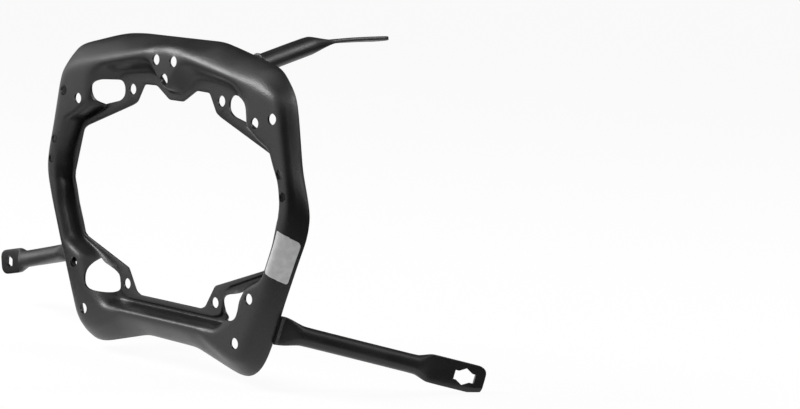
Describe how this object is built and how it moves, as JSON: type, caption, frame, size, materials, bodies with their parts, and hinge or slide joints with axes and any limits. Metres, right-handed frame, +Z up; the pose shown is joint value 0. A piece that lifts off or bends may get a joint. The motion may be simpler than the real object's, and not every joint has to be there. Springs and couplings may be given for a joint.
{
  "type": "motorcycle pannier frame",
  "caption": "Black pressed steel ring with slotted tabs, a channelled rim and welded tube struts that end in flattened lugs, for carrying a motorcycle pannier.",
  "frame": {"origin": "middle of the outer bolt pattern, on the front face of the ring's outer land", "axes": "+X along the motorcycle towards the lower strut, +Y inward to the motorcycle, +Z up"},
  "size_m": [0.6356, 0.1913, 0.3255],
  "materials": {
    "black_powder_coat": "semi-gloss fine-textured black powder coat"
  },
  "bodies": {
    "root": {"ring_plate": "black_powder_coat", "top_strut": "black_powder_coat", "side_strut": "black_powder_coat", "lower_strut": "black_powder_coat", "top_brace": "black_powder_coat"}
  },
  "joints": []
}
